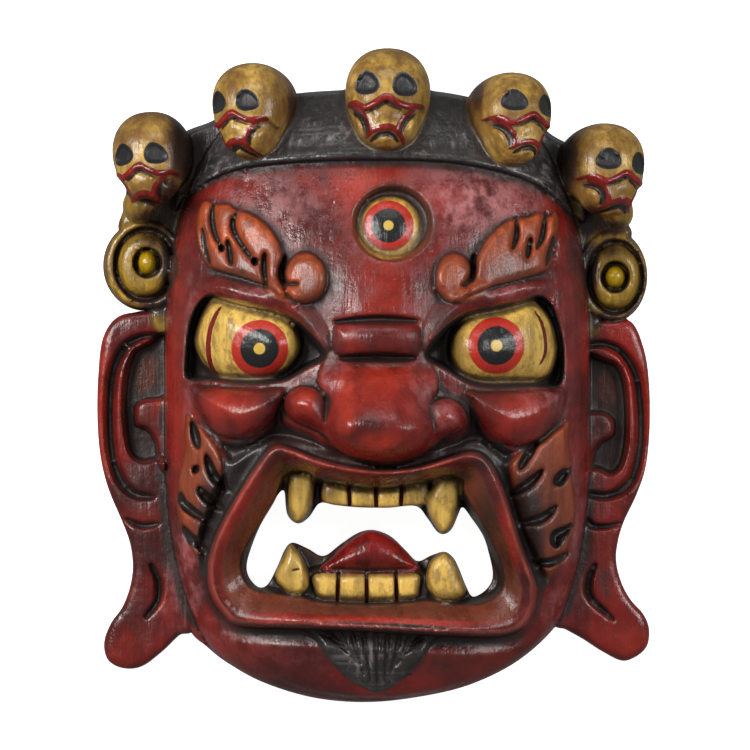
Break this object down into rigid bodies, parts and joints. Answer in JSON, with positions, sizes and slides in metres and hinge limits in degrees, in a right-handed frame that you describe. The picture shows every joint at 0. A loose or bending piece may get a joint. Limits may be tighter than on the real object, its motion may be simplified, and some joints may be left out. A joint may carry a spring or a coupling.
{
  "type": "tibetan cham mask",
  "caption": "Carved wooden cham mask with a wrathful three-eyed face, open fanged mouth, long-lobed ears and a crown of skulls.",
  "frame": {"origin": "centre of the overall bounds in x and y, on the plane of the flat back", "axes": "+Z out of the face, +Y towards the crown, +X towards the viewer's right when the face is looked at"},
  "size_m": [0.2926, 0.3391, 0.1098],
  "materials": {
    "lacquered_wood": "glossy"
  },
  "bodies": {
    "root": {"mask": "lacquered_wood"}
  },
  "joints": []
}
